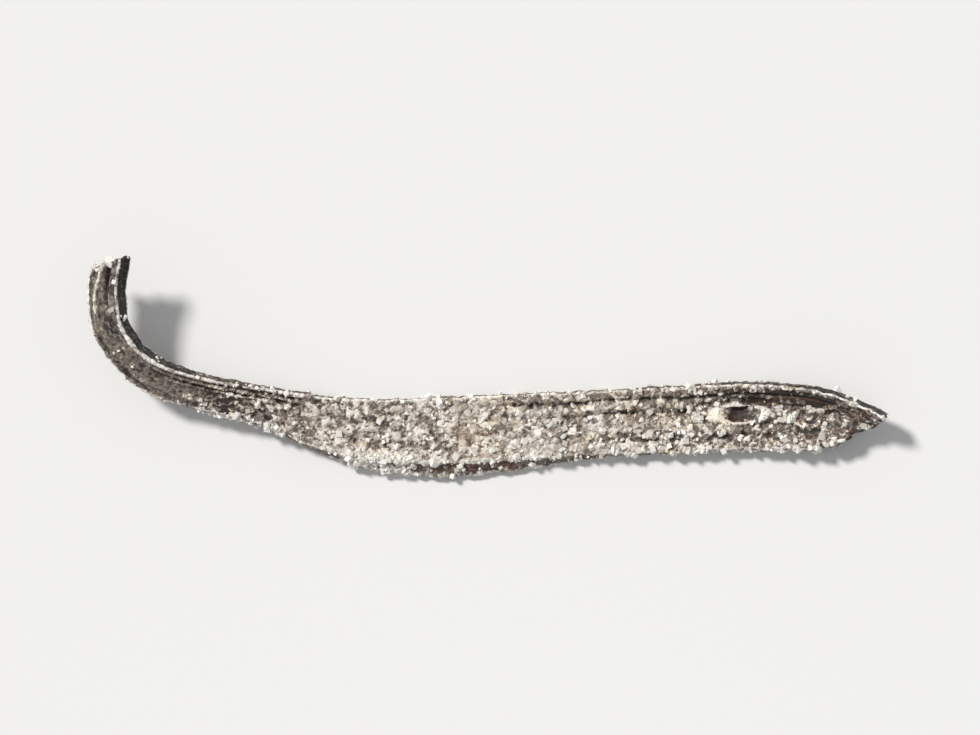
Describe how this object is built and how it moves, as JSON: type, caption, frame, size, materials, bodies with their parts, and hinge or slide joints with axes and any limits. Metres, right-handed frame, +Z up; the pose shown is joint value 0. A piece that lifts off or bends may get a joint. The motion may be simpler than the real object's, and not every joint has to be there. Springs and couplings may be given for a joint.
{
  "type": "dried kelp strip",
  "caption": "Narrow, leathery strip of dried kelp with a salty crust, one end hooked and raised, the other cut at a slant; a dry savoury garnish or snack.",
  "frame": {"origin": "centre of the strip's bounding box, taken down to the plane that it lies on", "axes": "+X along the strip from its hooked end to its slanting cut, +Y to the side that the hook bends towards, +Z up and out of its upper face"},
  "size_m": [0.0494, 0.0134, 0.0052],
  "materials": {
    "dried_kelp": "leathery dark brown blade, dusted grey-beige with fine salt, reddish brown at its cut walls",
    "sea_salt": "small broken salt crystals, white to cream, slightly glossy",
    "savoury_grains": "small amber and tan seasoning grains, slightly glossy",
    "salt_dust": "fine matt grey-beige powder clinging to the blade"
  },
  "bodies": {
    "root": {"kelp_strip": "dried_kelp"}
  },
  "joints": []
}
